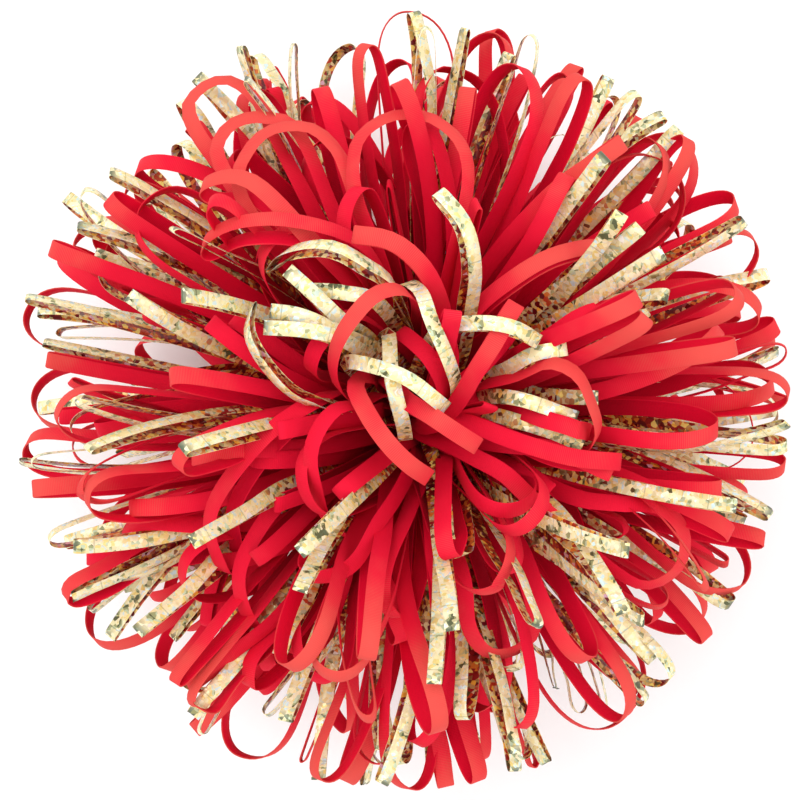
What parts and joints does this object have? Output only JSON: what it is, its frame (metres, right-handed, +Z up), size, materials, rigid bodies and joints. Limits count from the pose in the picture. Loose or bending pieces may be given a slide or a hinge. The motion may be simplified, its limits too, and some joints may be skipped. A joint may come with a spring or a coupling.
{
  "type": "cheer pom pom",
  "caption": "Hand-held cheerleading pom pom: a ball of red ribbon and gold foil loops that turns on a short grooved stick handle.",
  "frame": {"origin": "centre of the handle's flat butt, on the surface that the pom pom stands on", "axes": "+Z up along the handle's axis to the crown of the ball, which is the side that faces a viewer; +X and +Y level"},
  "size_m": [0.3002, 0.2982, 0.2653],
  "materials": {
    "red_ribbon": "matt, fine crosswise ribs",
    "gold_foil": "metallised film with a mosaic of small holographic flakes",
    "white_plastic": "moulded",
    "black_plastic": "moulded",
    "black_grip": "soft foam rubber",
    "nylon": "natural nylon",
    "zinc": "zinc plated"
  },
  "bodies": {
    "handle": {"handle_core": "white_plastic", "butt_cap": "black_plastic", "grip_sleeve": "black_grip", "guard_disc": "white_plastic", "lower_washer": "nylon", "upper_washer": "nylon", "cover_washer": "zinc", "retaining_screw": "zinc"},
    "ball": {"hub_spool": "nylon", "lower_ribbon_pack": "red_ribbon", "upper_ribbon_pack": "red_ribbon", "tie_strap": "nylon", "tie_head": "nylon", "binding_wire": "zinc", "red_loops_01": "red_ribbon", "gold_loops_01": "gold_foil", "red_loops_02": "red_ribbon", "gold_loops_02": "gold_foil", "red_loops_03": "red_ribbon", "gold_loops_03": "gold_foil", "red_loops_04": "red_ribbon", "gold_loops_04": "gold_foil", "red_loops_05": "red_ribbon", "gold_loops_05": "gold_foil", "red_loops_06": "red_ribbon", "gold_loops_06": "gold_foil", "red_loops_07": "red_ribbon", "gold_loops_07": "gold_foil", "red_loops_08": "red_ribbon", "gold_loops_08": "gold_foil", "red_loops_09": "red_ribbon", "gold_loops_09": "gold_foil", "red_loops_10": "red_ribbon", "gold_loops_10": "gold_foil"}
  },
  "joints": [
    {"name": "ball_turn", "type": "hinge", "parent": "handle", "child": "ball", "pos_m": [0, 0, 0.116], "axis": [0, 0, 1], "continuous": true}
  ]
}
